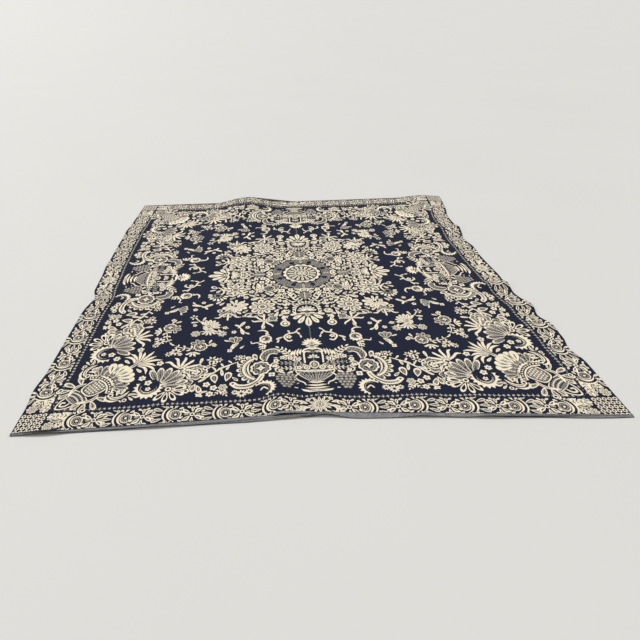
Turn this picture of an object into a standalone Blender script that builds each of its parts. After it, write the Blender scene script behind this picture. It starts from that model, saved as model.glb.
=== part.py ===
"""A jacquard coverlet laid out on level ground, as two thin solids.

The cloth is two loom widths joined edge to edge by a seam down the middle. Each width is one
sheet, with a narrow rolled hem at its near and far ends and plain selvedges at its sides.
The cloth lies flat but for the ripples and the hump in FOLDS. It is square when it is cut, lies a
little askew, and its outline is as uneven as EDGE_PULLS says. Units are metres, +Z is up, and +Y
runs from the near hem to the far hem.

A place on the flat cloth is (s, t): s across it from the seam, t along it from its middle.
"""

import math

import bpy

# Driving dimensions
WIDTH = 2.08
LENGTH = 2.08
CLOTH_THICK = 0.0025
HEM_THICK = 0.0045
HEM_WIDTH = 0.010
HEM_FOOT = 0.004
SEAM_GAP = 0.0003
# How far the laid cloth leans sideways for each metre along it
SKEW = -0.072

HALF_W = WIDTH / 2
HALF_L = LENGTH / 2

# Cells of the mesh across one loom width, and between its hems
CELLS_ACROSS = 24
CELLS_ALONG = 60
# Steps along each edge when the outline's box is measured
OUTLINE_STEPS = 64

# How far each edge is pulled from a straight line, in the plane of the ground.
# at: place along the edge from its middle, span: half the length that moves,
# pull: how far it moves (+X or +Y), reach: how far into the cloth the pull is felt
EDGE_PULLS = (
    # edge, at, span, pull, reach
    ("near", -0.05, 1.20, 0.031, 1.40),
    ("near", -0.06, 0.22, 0.012, 0.30),
    ("near", -0.135, 0.10, 0.011, 0.24),
    ("near", 0.025, 0.09, 0.007, 0.20),
    ("near", 0.36, 0.14, 0.004, 0.24),
    ("near", 0.96, 0.30, -0.008, 0.40),
    ("far", -1.04, 0.90, 0.010, 1.00),
    ("far", 0.30, 0.35, -0.010, 0.60),
    ("left", 0.45, 0.75, -0.020, 0.70),
    ("left", -0.21, 0.12, 0.030, 0.22),
    ("left", -0.82, 0.10, -0.010, 0.20),
    ("right", 0.28, 1.10, -0.070, 1.20),
    ("right", 0.68, 0.20, -0.016, 0.25),
    ("right", 0.35, 0.08, -0.012, 0.16),
    ("right", -0.22, 0.16, -0.020, 0.20),
    ("right", -0.44, 0.07, -0.014, 0.14),
    ("right", -0.68, 0.08, -0.018, 0.16),
)

# Where the cloth stands off the ground: a soft ridge for each row.
# heading: direction of its crest in degrees from +X, half_length and half_width: its reach
# along and across the crest, height: of the crest at its middle
FOLDS = (
    # s, t, heading, half_length, half_width, height
    (-0.310, 1.040, 80, 0.58, 0.250, 0.040),
    (-0.130, -1.040, 97, 0.42, 0.085, 0.015),
    (0.020, -1.040, 88, 0.30, 0.075, 0.009),
    (0.360, -1.040, 88, 0.30, 0.120, 0.007),
    (0.560, -1.040, 95, 0.22, 0.080, 0.007),
    (-0.930, -1.040, 70, 0.26, 0.100, 0.009),
    (-0.560, -1.040, 82, 0.34, 0.110, 0.006),
    (1.040, 0.490, -8, 0.22, 0.080, 0.018),
    (1.040, 0.220, 6, 0.20, 0.090, 0.008),
    (1.040, -0.190, -5, 0.26, 0.070, 0.022),
    (1.040, -0.370, 4, 0.20, 0.070, 0.011),
    (1.040, -0.530, -4, 0.20, 0.070, 0.008),
    (-1.040, -0.240, 12, 0.34, 0.100, 0.014),
    (-1.040, 0.140, -6, 0.26, 0.100, 0.006),
    (-1.040, 0.600, 8, 0.24, 0.100, 0.006),
    (0.900, 1.040, 92, 0.40, 0.200, 0.014),
    (0.420, 0.280, 24, 0.55, 0.130, 0.005),
    (-0.480, -0.240, 68, 0.50, 0.120, 0.005),
    (0.300, -0.530, 142, 0.50, 0.110, 0.004),
    (-0.560, 0.450, 128, 0.48, 0.120, 0.005),
)

NAVY = (0.016, 0.024, 0.062, 1.0)
CLOTH_ROUGHNESS = 0.92


def hump(x):
    """1 at the middle, falling smoothly to 0 at x = 1 and beyond."""
    return math.cos(0.5 * math.pi * x) ** 2 if abs(x) < 1.0 else 0.0


def fade(x):
    """1 at an edge, falling smoothly to 0 at x = 1 and beyond."""
    return (1.0 - x) ** 2 * (1.0 + 2.0 * x) if x < 1.0 else 0.0


def pulled(s, t):
    """Where the point (s, t) of the flat cloth lies on the ground before it is centred."""
    depth = {"near": HALF_L + t, "far": HALF_L - t, "left": HALF_W + s, "right": HALF_W - s}
    x, y = s + SKEW * t, t
    for edge, at, span, pull, reach in EDGE_PULLS:
        crosswise = edge in ("near", "far")
        along = s if crosswise else t
        move = pull * hump((along - at) / span) * fade(depth[edge] / reach)
        if crosswise:
            y += move
        else:
            x += move
    return x, y


def lift(s, t):
    """Height of the cloth's underside over the ground at (s, t)."""
    height = 0.0
    for fold_s, fold_t, heading, half_length, half_width, crest in FOLDS:
        angle = math.radians(heading)
        along = (s - fold_s) * math.cos(angle) + (t - fold_t) * math.sin(angle)
        across = (t - fold_t) * math.cos(angle) - (s - fold_s) * math.sin(angle)
        height += crest * hump(along / half_length) * hump(across / half_width)
    return height


def outline_centre():
    """Middle of the box round the cloth's outline, which becomes the origin."""
    steps = [2.0 * i / OUTLINE_STEPS - 1.0 for i in range(OUTLINE_STEPS + 1)]
    edge = [pulled(k * HALF_W, side * HALF_L) for k in steps for side in (-1, 1)]
    edge += [pulled(side * HALF_W, k * HALF_L) for k in steps for side in (-1, 1)]
    xs, ys = zip(*edge)
    return (min(xs) + max(xs)) / 2, (min(ys) + max(ys)) / 2


CENTRE = outline_centre()


def underside(s, t):
    """Where the point (s, t) of the flat cloth's underside lies."""
    x, y = pulled(s, t)
    return x - CENTRE[0], y - CENTRE[1], lift(s, t)


def rows_along():
    """The places along the cloth of the mesh's rows, with two close ones for each hem."""
    inner = HALF_L - HEM_WIDTH - HEM_FOOT
    body = [-inner + 2.0 * inner * i / CELLS_ALONG for i in range(CELLS_ALONG + 1)]
    return [-HALF_L, HEM_WIDTH - HALF_L, *body, HALF_L - HEM_WIDTH, HALF_L]


def thickness(t):
    """The rolled hem's at either end, and the plain cloth's elsewhere."""
    from_end = HALF_L - abs(t)
    return HEM_THICK if from_end < HEM_WIDTH + HEM_FOOT / 2 else CLOTH_THICK


def cloth_material():
    """Navy woollen cloth."""
    material = bpy.data.materials.new("coverlet_cloth")
    material.use_nodes = True
    shader = material.node_tree.nodes["Principled BSDF"]
    shader.inputs["Base Color"].default_value = NAVY
    shader.inputs["Roughness"].default_value = CLOTH_ROUGHNESS
    shader.inputs["Metallic"].default_value = 0.0
    return material


def make_panel(name, low, high, collection, material):
    """One loom width from s = low to s = high: a laid grid, thickened upward."""
    rows = rows_along()
    bpy.ops.mesh.primitive_grid_add(x_subdivisions=CELLS_ACROSS, y_subdivisions=len(rows) - 1, size=2)
    panel = bpy.context.object
    panel.name = name
    panel.data.name = name
    share = panel.vertex_groups.new(name="thickness")
    for vert in panel.data.vertices:
        s = low + (high - low) * (vert.co.x + 1) / 2
        t = rows[round((len(rows) - 1) * (vert.co.y + 1) / 2)]
        vert.co = underside(s, t)
        share.add([vert.index], thickness(t) / HEM_THICK, "REPLACE")
    shell = panel.modifiers.new("cloth", "SOLIDIFY")
    shell.thickness = HEM_THICK
    shell.offset = 1.0
    shell.vertex_group = share.name
    panel.data.materials.append(material)
    panel.data.shade_smooth()
    for holder in list(panel.users_collection):
        holder.objects.unlink(panel)
    collection.objects.link(panel)


def main():
    for old in list(bpy.data.objects):
        bpy.data.objects.remove(old)
    collection = bpy.data.collections.new("jacquard_coverlet")
    bpy.context.scene.collection.children.link(collection)
    material = cloth_material()
    make_panel("panel_left", -HALF_W, -SEAM_GAP / 2, collection, material)
    make_panel("panel_right", SEAM_GAP / 2, HALF_W, collection, material)


main()
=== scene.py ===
"""A jacquard coverlet, navy and cream, laid out on a plain floor.

The cloth is drawn flat first. One quarter of its woven design is made from small outlines laid over
each other, in millimetres, with x outward from the seam and y from the middle to an end hem. The
quarter is cut into triangles along the edges of its tones, mirrored, and laid on the cloth's folds.
"""

import cmath
import math

import bpy
import numpy as np
from mathutils import Matrix, Vector, geometry, kdtree


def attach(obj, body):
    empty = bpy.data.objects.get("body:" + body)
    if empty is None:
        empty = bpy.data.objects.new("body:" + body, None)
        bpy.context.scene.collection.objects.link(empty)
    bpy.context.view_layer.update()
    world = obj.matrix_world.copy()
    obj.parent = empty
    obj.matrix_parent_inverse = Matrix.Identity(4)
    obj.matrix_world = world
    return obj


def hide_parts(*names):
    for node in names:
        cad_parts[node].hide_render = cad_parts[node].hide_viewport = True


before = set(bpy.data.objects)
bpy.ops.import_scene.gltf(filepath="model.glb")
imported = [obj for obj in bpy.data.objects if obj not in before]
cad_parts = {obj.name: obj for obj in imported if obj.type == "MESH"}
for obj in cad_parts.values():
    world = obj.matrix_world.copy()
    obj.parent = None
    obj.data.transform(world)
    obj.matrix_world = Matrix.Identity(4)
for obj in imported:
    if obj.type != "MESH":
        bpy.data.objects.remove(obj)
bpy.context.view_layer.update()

# Driving dimensions of the cloth, in metres
WIDTH = 2.08
LENGTH = 2.08
CLOTH_THICK = 0.0025
HEM_THICK = 0.0045
HEM_WIDTH = 0.010
SEAM_GAP = 0.0003
# How far the laid cloth leans sideways for each metre along it
SKEW = -0.072
HALF_W = WIDTH / 2
HALF_L = LENGTH / 2
OUTLINE_STEPS = 64

# How far each edge is pulled from a straight line, in the plane of the ground.
# at: place along the edge from its middle, span: half the length that moves,
# pull: how far it moves (+X or +Y), reach: how far into the cloth the pull is felt
EDGE_PULLS = (
    # edge, at, span, pull, reach
    ("near", -0.05, 1.20, 0.031, 1.40),
    ("near", -0.06, 0.22, 0.012, 0.30),
    ("near", -0.135, 0.10, 0.011, 0.24),
    ("near", 0.025, 0.09, 0.007, 0.20),
    ("near", 0.36, 0.14, 0.004, 0.24),
    ("near", 0.96, 0.30, -0.008, 0.40),
    ("far", -1.04, 0.90, 0.010, 1.00),
    ("far", 0.30, 0.35, -0.010, 0.60),
    ("left", 0.45, 0.75, -0.020, 0.70),
    ("left", -0.21, 0.12, 0.030, 0.22),
    ("left", -0.82, 0.10, -0.010, 0.20),
    ("right", 0.28, 1.10, -0.070, 1.20),
    ("right", 0.68, 0.20, -0.016, 0.25),
    ("right", 0.35, 0.08, -0.012, 0.16),
    ("right", -0.22, 0.16, -0.020, 0.20),
    ("right", -0.44, 0.07, -0.014, 0.14),
    ("right", -0.68, 0.08, -0.018, 0.16),
)

# Where the cloth stands off the ground: a soft ridge for each row.
# heading: direction of its crest in degrees from +X, half_length and half_width: its reach
# along and across the crest, height: of the crest at its middle
FOLDS = (
    # s, t, heading, half_length, half_width, height
    (-0.310, 1.040, 80, 0.58, 0.250, 0.040),
    (-0.130, -1.040, 97, 0.42, 0.085, 0.015),
    (0.020, -1.040, 88, 0.30, 0.075, 0.009),
    (0.360, -1.040, 88, 0.30, 0.120, 0.007),
    (0.560, -1.040, 95, 0.22, 0.080, 0.007),
    (-0.930, -1.040, 70, 0.26, 0.100, 0.009),
    (-0.560, -1.040, 82, 0.34, 0.110, 0.006),
    (1.040, 0.490, -8, 0.22, 0.080, 0.018),
    (1.040, 0.220, 6, 0.20, 0.090, 0.008),
    (1.040, -0.190, -5, 0.26, 0.070, 0.022),
    (1.040, -0.370, 4, 0.20, 0.070, 0.011),
    (1.040, -0.530, -4, 0.20, 0.070, 0.008),
    (-1.040, -0.240, 12, 0.34, 0.100, 0.014),
    (-1.040, 0.140, -6, 0.26, 0.100, 0.006),
    (-1.040, 0.600, 8, 0.24, 0.100, 0.006),
    (0.900, 1.040, 92, 0.40, 0.200, 0.014),
    (0.420, 0.280, 24, 0.55, 0.130, 0.005),
    (-0.480, -0.240, 68, 0.50, 0.120, 0.005),
    (0.300, -0.530, 142, 0.50, 0.110, 0.004),
    (-0.560, 0.450, 128, 0.48, 0.120, 0.005),
)

# Borders of the woven design, in millimetres from the middle: where the dark guard stripe begins and
# ends, the line of its lozenges, and the middle line of the flowered border
GUARD_FROM = 908
GUARD_TO = 949
LOZENGE_LINE = 937
LOZENGE_PITCH = 17
BORDER_LINE = 990
# The corner square: its first ring rosette and how far apart they are
CORNER_FROM = 954.5
CORNER_PITCH = 18.5
CORNER_ROWS = 5
# On the diagonal: the tip of the horn's tail, the root of the flames, and their heading in degrees
HORN_AT = 925
FLAMES_AT = 702
INWARD = -135

# Tones of the woven design
NAVY, CREAM, GREY, HEM, PALE = 0, 1, 2, 3, 4
# The cloth's other face has the navy and the cream exchanged
BACK_TONE = {NAVY: CREAM, CREAM: NAVY, GREY: PALE, HEM: HEM, PALE: GREY}

# The mesh of a quarter, in millimetres
MM = 1000.0
QUARTER = HALF_W * MM
GRID_STEP = 20.0
GRID_CLEAR = 5.0
POINT_ROUNDING = 1
# Cells in which bare places are looked for, and how many of them a bare place may reach
FILL_STEP = 4.0
FILL_REACH = 8
CUT_TOLERANCE = 0.01
# How far off a straight line a point has to be to stay
LINE_SLACK = 0.3
RIM_SLACK = 0.01
# The underside shows only shapes of this least size, this far inside the quarter
BACK_LEAST = 26.0
BACK_CLEAR = 3.0
# Rows of the hem, in millimetres from the middle, and how thick the cloth is along them
HEM_ROWS = (1026.0, 1030.5, 1035.5)
THICK_ROWS = (0.0, *HEM_ROWS, QUARTER)
THICK_AT = (CLOTH_THICK, CLOTH_THICK, HEM_THICK * 0.9, HEM_THICK, HEM_THICK * 0.62)
# The band that shows the hem's yarn, and how far it passes the quarter's rim
HEM_FROM = 1030.0
OVERLAP = 5.0
# How far apart the places are, in metres, from which the laid cloth's slope is found
SLOPE_STEP = 0.002

# The floor: how far out each ring is and how high, in metres
FLOOR_RINGS = ((60.0, -0.0005), (150.0, 2.0), (260.0, 8.0), (400.0, 22.0))
FLOOR_SIDES = 96


def hump(x):
    """1 at the middle, falling smoothly to 0 at x = 1 and beyond."""
    return np.where(np.abs(x) < 1.0, np.cos(0.5 * math.pi * x) ** 2, 0.0)


def fade(x):
    """1 at an edge, falling smoothly to 0 at x = 1 and beyond."""
    return np.where(x < 1.0, (1.0 - x) ** 2 * (1.0 + 2.0 * x), 0.0)


def pulled(s, t):
    """Where the points (s, t) of the flat cloth lie on the floor before they are centred."""
    depth = {"near": HALF_L + t, "far": HALF_L - t, "left": HALF_W + s, "right": HALF_W - s}
    x, y = s + SKEW * t, t + 0.0
    for edge, at, span, pull, reach in EDGE_PULLS:
        crosswise = edge in ("near", "far")
        along = s if crosswise else t
        move = pull * hump((along - at) / span) * fade(depth[edge] / reach)
        if crosswise:
            y = y + move
        else:
            x = x + move
    return x, y


def lift(s, t):
    """Height of the cloth's underside over the floor at (s, t)."""
    height = 0.0 * s
    for fold_s, fold_t, heading, half_length, half_width, crest in FOLDS:
        angle = math.radians(heading)
        along = (s - fold_s) * math.cos(angle) + (t - fold_t) * math.sin(angle)
        across = (t - fold_t) * math.cos(angle) - (s - fold_s) * math.sin(angle)
        height = height + crest * hump(along / half_length) * hump(across / half_width)
    return height


def outline_centre():
    """Middle of the box round the cloth's outline, which is the origin."""
    k = np.linspace(-1.0, 1.0, OUTLINE_STEPS + 1)
    ends = [pulled(k * HALF_W, side * HALF_L + 0.0 * k) for side in (-1, 1)]
    ends += [pulled(side * HALF_W + 0.0 * k, k * HALF_L) for side in (-1, 1)]
    xs = np.concatenate([x for x, y in ends])
    ys = np.concatenate([y for x, y in ends])
    return (xs.min() + xs.max()) / 2, (ys.min() + ys.max()) / 2


CENTRE = outline_centre()


def underside(s, t):
    """Where the points (s, t) of the cloth's underside lie, as rows of x, y, z."""
    x, y = pulled(s, t)
    return np.stack([x - CENTRE[0], y - CENTRE[1], lift(s, t)], axis=-1)


def smooth(points, steps=4, closed=False):
    """A soft curve through the points, with a few steps between each two of them."""
    p = np.array(points, complex)
    if closed:
        p = np.concatenate([p[-1:], p, p[:2]])
    else:
        p = np.concatenate([[2 * p[0] - p[1]], p, [2 * p[-1] - p[-2]]])
    out = []
    for a, b, c, d in zip(p, p[1:], p[2:], p[3:]):
        for u in np.arange(steps) / steps:
            out.append(b + 0.5 * u * (c - a +
                                      u * (2 * a - 5 * b + 4 * c - d + u * (3 * b - a - 3 * c + d))))
    if not closed:
        out.append(p[-2])
    return np.array(out)


def ribbon(points, width, start=0.15, end=0.15, steps=3):
    """Outline of a stroke along a soft curve. start and end: its width there as a share."""
    line = smooth(points, steps)
    along = np.gradient(line)
    side = 1j * along / np.abs(along)
    u = np.linspace(0, 1, len(line))
    half = 0.5 * width * np.minimum(1, np.minimum(start + 3 * u, end + 3 * (1 - u)))
    return np.concatenate([line + side * half, (line - side * half)[::-1]])


def blade(length, width, bend=0.0, belly=0.5, n=6):
    """A leaf from 0 along +X, pointed at both ends. bend: how far its middle swings aside."""
    u = np.linspace(0, 1, n + 1)
    line = length * u + 1j * bend * np.sin(math.pi * u)
    half = 0.5 * width * np.sin(math.pi * u ** (math.log(0.5) / math.log(belly)))
    return np.concatenate([line + 1j * half, (line - 1j * half)[-2:0:-1]])


def drop(length, width, n=11):
    """A drop from its point at 0 to its round end at length."""
    a = np.linspace(0, 2 * math.pi, n + 1)[:-1]
    return 0.5 * length * (1 - np.cos(a)) + 0.5j * width * np.sin(a) * np.sin(a / 2) * 1.15


def oval(length, width=None, n=10):
    """An oval round 0, or a circle where it has no width of its own."""
    a = np.linspace(0, 2 * math.pi, n + 1)[:-1]
    return 0.5 * length * np.cos(a) + 0.5j * (width or length) * np.sin(a)


def scallop(radius, count, depth, n=4):
    """A round with bulging lobes. depth: how deep the notches between them are."""
    a = np.linspace(0, 2 * math.pi, count * n + 1)[:-1]
    return radius * (1 - depth * (1 - np.abs(np.sin(0.5 * count * a)))) * np.exp(1j * a)


def star(outer, inner, count):
    """A star of straight points."""
    a = np.arange(2 * count) * math.pi / count
    return np.where(np.arange(2 * count) % 2, inner, outer) * np.exp(1j * a)


def sector(inner, outer, low, high, n=10):
    """Part of a flat ring between two headings, in degrees."""
    a = np.exp(1j * np.radians(np.linspace(low, high, n + 1)))
    return np.concatenate([outer * a, (inner * a)[::-1]])


def sickle(radius, thick, low, high, n=12):
    """A crescent on a round: thickest in the middle, pointed at both ends."""
    u = np.linspace(0, 1, n + 1)
    a = np.exp(1j * np.radians(low + (high - low) * u))
    inner = radius - thick * np.sin(math.pi * u)
    return np.concatenate([radius * a, (inner * a)[-2:0:-1]])


def toothed(radius, thick, low, high, teeth, bite):
    """A sickle whose outer side has teeth."""
    u = np.linspace(0, 1, 2 * teeth + 1)
    a = np.exp(1j * np.radians(low + (high - low) * u))
    outer = (radius + bite * (np.arange(2 * teeth + 1) % 2)) * a
    inner = (radius - thick * np.sin(math.pi * u)) * a
    return np.concatenate([outer, inner[-2:0:-2]])


def polar(radius, heading):
    """The place at a distance from 0, at a heading in degrees."""
    return radius * cmath.exp(1j * math.radians(heading))


def put(shapes, at=0, size=1.0, heading=0.0):
    """The shapes moved to `at`, scaled and turned."""
    spin = polar(size, heading)
    return [(at + spin * o, tone) for o, tone in shapes]


def rings(outline, *steps):
    """One outline drawn again and again at shrinking scales: steps are (scale, tone)."""
    middle = outline.mean()
    return [(middle + scale * (outline - middle), tone) for scale, tone in steps]


def around(shapes, count, radius=0.0, start=0.0, spread=360.0):
    """Copies of the shapes round a centre, each heading outward."""
    step = spread / count if spread == 360.0 else spread / max(count - 1, 1)
    out = []
    for i in range(count):
        heading = start + i * step
        out += put(shapes, polar(radius, heading), 1.0, heading)
    return out


def both(shapes):
    """The shapes and their mirror image over the diagonal."""
    return shapes + [(1j * np.conj(o), tone) for o, tone in shapes]


def sides(shapes):
    """The shapes and their mirror image over the +X line."""
    return shapes + [(np.conj(o), tone) for o, tone in shapes]


def inside(points, outline):
    """Which of the points lie inside the outline."""
    a, b = outline, np.roll(outline, -1)
    x, y = points.real[:, None], points.imag[:, None]
    crosses = (a.imag > y) != (b.imag > y)
    with np.errstate(divide="ignore", invalid="ignore"):
        at = a.real + (y - a.imag) * (b.real - a.real) / (b.imag - a.imag)
    return (crosses & (x < at)).sum(axis=1) % 2 == 1


def tones_at(points, shapes):
    """The tone of the topmost shape over each point, navy where there is none."""
    tones = np.full(len(points), NAVY)
    order = np.argsort(points.real)
    ranked = points[order]
    for outline, tone in shapes:
        first, last = np.searchsorted(ranked.real, [outline.real.min(), outline.real.max()])
        near = order[first:last]
        y = points[near].imag
        near = near[(y > outline.imag.min()) & (y < outline.imag.max())]
        if len(near):
            tones[near[inside(points[near], outline)]] = tone
    return tones


def tear(length, width, core=GREY):
    """A drop with a light rim round a toned core."""
    o = drop(length, width)
    return [(o, CREAM)] + rings(o, (0.58, NAVY), (0.42, core))


def slit_petal(length, width):
    """A light petal with a dark vein."""
    return [(drop(length, width), CREAM), (0.3 * length + 0.45 * drop(length, width * 0.35), NAVY)]


def slits(*rows):
    """Slit petals: the length and width of each, its foot, and its heading in degrees."""
    out = []
    for length, width, foot, heading in rows:
        out += put(slit_petal(length, width), foot, 1, heading)
    return out


def stroke(points, *shape):
    """A light ribbon."""
    return [(ribbon(points, *shape), CREAM)]


def ringlet(radius):
    """A light ring with a dark middle."""
    return rings(oval(2 * radius, n=8), (1.0, CREAM), (0.5, NAVY))


def daisy(radius, count, core=0.35):
    """A round flower of drop petals."""
    wide = 2 * math.pi * radius * 0.72 / count
    length = radius * (1 - core * 0.6)
    petal = [(drop(length, wide), CREAM), (0.12 * length + 0.7 * drop(length, wide * 0.72), PALE),
             (0.3 * length + 0.45 * drop(length, wide * 0.3), NAVY)]
    out = [(scallop(radius * 1.1, count, 0.08), NAVY)]
    out += around(petal, count, radius * core * 0.6)
    disc = oval(2 * radius * core, n=10)
    return out + rings(disc, (1.15, NAVY), (0.95, CREAM), (0.6, GREY))


def rose(radius):
    """A rose seen face on: scalloped rim, toned ring, square heart."""
    out = [(scallop(radius * 1.12, 10, 0.1), NAVY), (scallop(radius, 10, 0.14), CREAM)]
    out += [(scallop(radius * 0.8, 10, 0.1, 3), NAVY), (oval(radius * 1.42, n=12), GREY)]
    out += [(oval(radius * 0.92, n=10), NAVY), (star(radius * 0.46, radius * 0.22, 4), CREAM)]
    return out + [(oval(radius * 0.16, n=5), NAVY)]


def blossom(radius, count=5):
    """A small flower: a scalloped disc with a dark eye and a light dot in it."""
    out = [(scallop(radius * 1.2, count, 0.15, 3), NAVY), (scallop(radius, count, 0.34, 4), CREAM)]
    return out + rings(oval(radius * 0.7, n=7), (1.0, NAVY), (0.5, CREAM))


def spray(points, pairs, length, width, stem=4.0, lean=50.0):
    """A stem with leaves in pairs along it, getting smaller to its tip."""
    line = smooth(points, 6)
    out = [(ribbon(points, stem + 5, 0.4, 0.4), NAVY), (ribbon(points, stem), CREAM)]
    for i in range(pairs):
        at = int((i + 0.7) / pairs * (len(line) - 2))
        heading = math.degrees(cmath.phase(line[at + 1] - line[at]))
        grow = 1.0 - 0.45 * i / pairs
        for side in (-1, 1):
            out += put([(blade(length, width, side * 0.12 * length), CREAM)], line[at], grow,
                       heading + side * lean)
    heading = math.degrees(cmath.phase(line[-1] - line[-2]))
    return out + put([(blade(length, width), CREAM)], line[-1], 0.8, heading)


def hand(count, length, width, low, high, hook=0.25):
    """Narrow leaves spread from one root, each curling aside."""
    out = []
    for i in range(count):
        u = i / (count - 1)
        heading = low + (high - low) * u
        aside = hook * (2 * u - 1)
        line = [0, length * (0.5 + 0.10j * aside * 4), length * (0.85 + 0.55j * aside),
                length * (1.0 + 1.1j * aside)]
        for extra, tone in ((4, NAVY), (0, CREAM)):
            out += put([(ribbon(line, width + extra, 0.5, 0.25), tone)], 0, 1.0, heading)
    return out


def lobes(count, inner, outer, low, high, width):
    """Outlined round lobes spread like a fan, joined by a toned heart."""
    out = [(sector(0, inner + 6, low - 8, high + 8, 8), GREY)]
    for i in range(count):
        heading = low + (high - low) * i / (count - 1)
        lobe = polar(inner * 0.4, heading) + polar(1, heading) * drop(outer - inner * 0.4, width)
        out += rings(lobe, (1.14, NAVY), (1.0, CREAM), (0.78, GREY))
        vein = [(blade(outer * 0.6, 3.5, 0, 0.4), NAVY)]
        out += put(vein, polar(inner * 0.7, heading), 1, heading)
    return out


def saw_crescent(radius, heading, reach, teeth):
    """A toothed half-moon with a toned inner band and a flower in its bend."""
    out = [(oval(2 * radius * 1.1, n=20), NAVY)]
    bands = [(toothed(radius * 0.98, radius * 0.34, -reach, reach, teeth, radius * 0.26), CREAM),
             (sickle(radius * 0.7, radius * 0.3, -reach, reach, 16), GREY),
             (sickle(radius * 0.52, 3, -80, 80, 12), CREAM)]
    out += put(bands, 0, 1, heading)
    return out + put(blossom(radius * 0.24), polar(0.05 * radius, heading))


def palmette():
    """The border's half-moon: a toned disc, light arcs and a fan of leaves."""
    out = [(oval(56, 92, 14) + 8, NAVY)]
    out += rings(oval(41, 45, 16), (1.0, CREAM), (0.84, GREY), (0.42, NAVY), (0.22, CREAM))
    out += [(sickle(31, 8, -88, 88, 12), CREAM), (5 + sickle(41, 7, -80, 80, 12), CREAM)]
    for i in range(7):
        heading = -84 + 28 * i
        reach = 32 if i in (0, 6) else 38
        leaf = [(drop(reach, 17), CREAM), (4 + 0.84 * drop(reach, 12), PALE),
                (8 + 0.55 * drop(reach, 7), NAVY)]
        out += put(leaf, 6 + polar(41, heading * 0.9), 1, heading * 0.75)
    trefoil = slits((23, 12, 6 + 29j, 115), (21, 11, 14 + 30j, 62), (18, 10, -8 + 25j, 150))
    return out + sides(trefoil + put(blossom(6, 4), 33 + 35j))


def cluster():
    """The border's leaf star, in the gap between two palmettes."""
    out = rings(oval(18, n=9), (1.0, CREAM), (0.5, NAVY))
    leaf = [(blade(36, 17, 4), CREAM), (7 + 0.6 * blade(36, 8, 4), NAVY)]
    for heading in (38, 142, 218, 322):
        out += put(leaf, polar(9, heading), 1, heading)
    out += put([(drop(18, 9), PALE)], 11) + put([(drop(18, 9), PALE)], -11, 1, 180)
    tops = put([(drop(25, 13), CREAM), (7 + 0.6 * drop(25, 7), NAVY)], 12j, 1, 90)
    tops += slits((18, 10, -5 + 30j, 150), (18, 10, 5 + 30j, 30))
    tops += put([(drop(15, 9), CREAM)], -30 + 9j, 1, 145) + put([(drop(15, 9), CREAM)], 30 + 9j, 1, 35)
    return out + sides(tops)


def crest():
    """The leafy ornament in the middle of the border."""
    out = around([(blade(36, 11), CREAM), (9 + 0.55 * blade(36, 5), NAVY)], 12, 8, -180)
    out += rings(oval(20, n=8), (1.1, NAVY), (0.9, CREAM), (0.5, NAVY))
    half = put(stroke([0, 16 - 8j, 30 + 2j, 26 + 20j, 10 + 18j], 9), 28 + 14j)
    half += slits((34, 15, 40 - 12j, -28), (30, 14, 42 + 2j, 4)) + put(blossom(10), 40 - 32j)
    half += put(ringlet(6), 66 + 16j) + slits((26, 12, 62 + 28j, 0), (24, 11, 14 + 34j, 20))
    half += slits((22, 10, 12 - 36j, -14))
    return out + over_seam(half)


def border():
    """One end's share of the outer border, from the middle to the corner square."""
    row = BORDER_LINE * 1j
    out = put(crest(), row)
    for x, to_cluster in ((156, 54), (328, 57), (500, 57), (670, 57), (836, 57)):
        out += put(palmette(), x + row) + put(cluster(), x - to_cluster + row)
    out += put(daisy(20, 8), 922 + row - 22j) + put(daisy(20, 8), 922 + row + 24j)
    return out


def end_spray():
    """The leafy spray beside the corner square at the cloth's ends."""
    out = put(spray([0, 24 - 4j, 52 - 2j], 4, 24, 11, 4, 50), 868 + 970j)
    return out + put(star_flower(12), 890 + 1008j)


def guard():
    """The dark stripe inside the border, with its line of dotted lozenges."""
    near, far = GUARD_FROM * 1j, GUARD_TO * 1j
    out = [(np.array([near - OVERLAP, near + GUARD_FROM, far + GUARD_TO, far - OVERLAP]), NAVY)]
    for i in range(LOZENGE_LINE // LOZENGE_PITCH):
        at = (i + 0.5) * LOZENGE_PITCH + LOZENGE_LINE * 1j
        out += put(rings(star(LOZENGE_PITCH / 2, 5, 4), (1.0, GREY), (0.36, CREAM)), at)
    return out


def corner():
    """The square in the border's corner, filled with ring rosettes."""
    out = []
    for i in range(CORNER_ROWS):
        for k in range(CORNER_ROWS):
            at = CORNER_FROM + CORNER_PITCH * i + 1j * (CORNER_FROM + CORNER_PITCH * k)
            out += put(rings(scallop(9, 6, 0.2, 2), (1.0, CREAM), (0.5, NAVY)), at)
    return out


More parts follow.
